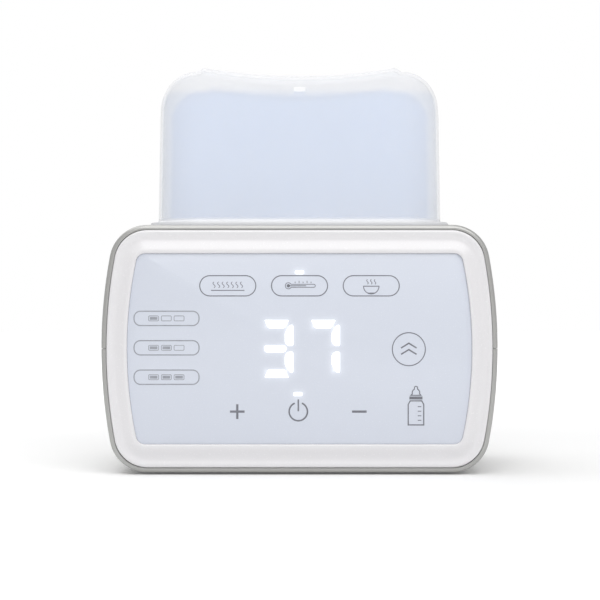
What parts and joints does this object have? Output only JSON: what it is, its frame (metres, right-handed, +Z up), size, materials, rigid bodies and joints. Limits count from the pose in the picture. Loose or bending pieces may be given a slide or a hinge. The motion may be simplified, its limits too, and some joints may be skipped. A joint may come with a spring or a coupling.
{
  "type": "bottle warmer",
  "caption": "Twin electric bottle warmer with bulged sides, a framed touch panel with a lit display, a deck with two bottle wells, and a tall translucent lid that lifts off.",
  "frame": {"origin": "on the table, under the middle of the body", "axes": "+Z up, +Y to the back, +X to the right seen from the front"},
  "size_m": [0.2, 0.13, 0.2088],
  "materials": {
    "shell": "satin silver-grey moulded shell",
    "frame": "glossy white moulded frame",
    "panel": "smooth pale blue-grey touch panel",
    "dark_foam": "black adhesive foam",
    "inner_white": "plain white inner moulding",
    "steel": "plated steel",
    "lit": "white lamps lit through the panel",
    "lamp": "small lamp package",
    "board": "green circuit board",
    "black_plastic": "black moulding",
    "tank": "white moulded deck and wells",
    "silicone": "grey-white silicone seal",
    "plate": "polished drawn steel plate",
    "heater_metal": "cast heater body",
    "fuse_body": "ceramic fuse body",
    "relay_blue": "relay case",
    "capacitor_yellow": "film capacitor case",
    "capacitor_sleeve": "printed sleeve left plain",
    "terminal_green": "terminal block",
    "fuse_glass": "fuse tube",
    "ribbon": "flat cable",
    "lead_red": "silicone heater leads",
    "lead_black": "thin sensor leads",
    "gland_rubber": "cord bushing",
    "foot_rubber": "pressed-in feet",
    "lid": "frosted translucent cover"
  },
  "bodies": {
    "base": {"lower_housing": "shell", "upper_housing": "shell", "front_bezel": "frame", "touch_panel": "panel", "panel_adhesive": "dark_foam", "light_shield": "inner_white", "touch_springs": "steel", "display_module": "inner_white", "display_segments": "lit", "light_guides": "lit", "leds": "lamp", "touch_board": "board", "buzzer": "black_plastic", "board_screws": "steel", "bezel_screws": "steel", "water_tank": "tank", "tank_gasket": "silicone", "tank_screws": "steel", "heating_plate_left": "plate", "heating_plate_right": "plate", "plate_seal_left": "silicone", "plate_seal_right": "silicone", "heater_left": "heater_metal", "heater_right": "heater_metal", "heater_strap_left": "steel", "heater_strap_right": "steel", "strap_screws": "steel", "temperature_sensor_left": "black_plastic", "temperature_sensor_right": "black_plastic", "thermal_fuse_left": "fuse_body", "thermal_fuse_right": "fuse_body", "power_board": "board", "transformer": "black_plastic", "relays": "relay_blue", "filter_capacitor": "capacitor_yellow", "smoothing_capacitors": "capacitor_sleeve", "terminal_block": "terminal_green", "line_fuse": "fuse_glass", "power_board_screws": "steel", "display_ribbon": "ribbon", "heater_leads": "lead_red", "sensor_leads": "lead_black", "cord_gland": "gland_rubber", "cord_clamp": "inner_white", "clamp_screws": "steel", "rubber_feet": "foot_rubber", "housing_screws": "steel"},
    "lid": {"lid": "lid"}
  },
  "joints": [
    {"name": "lid_lift", "type": "slide", "parent": "base", "child": "lid", "axis": [0, 0, 1], "range_m": [0, 0.15]}
  ]
}
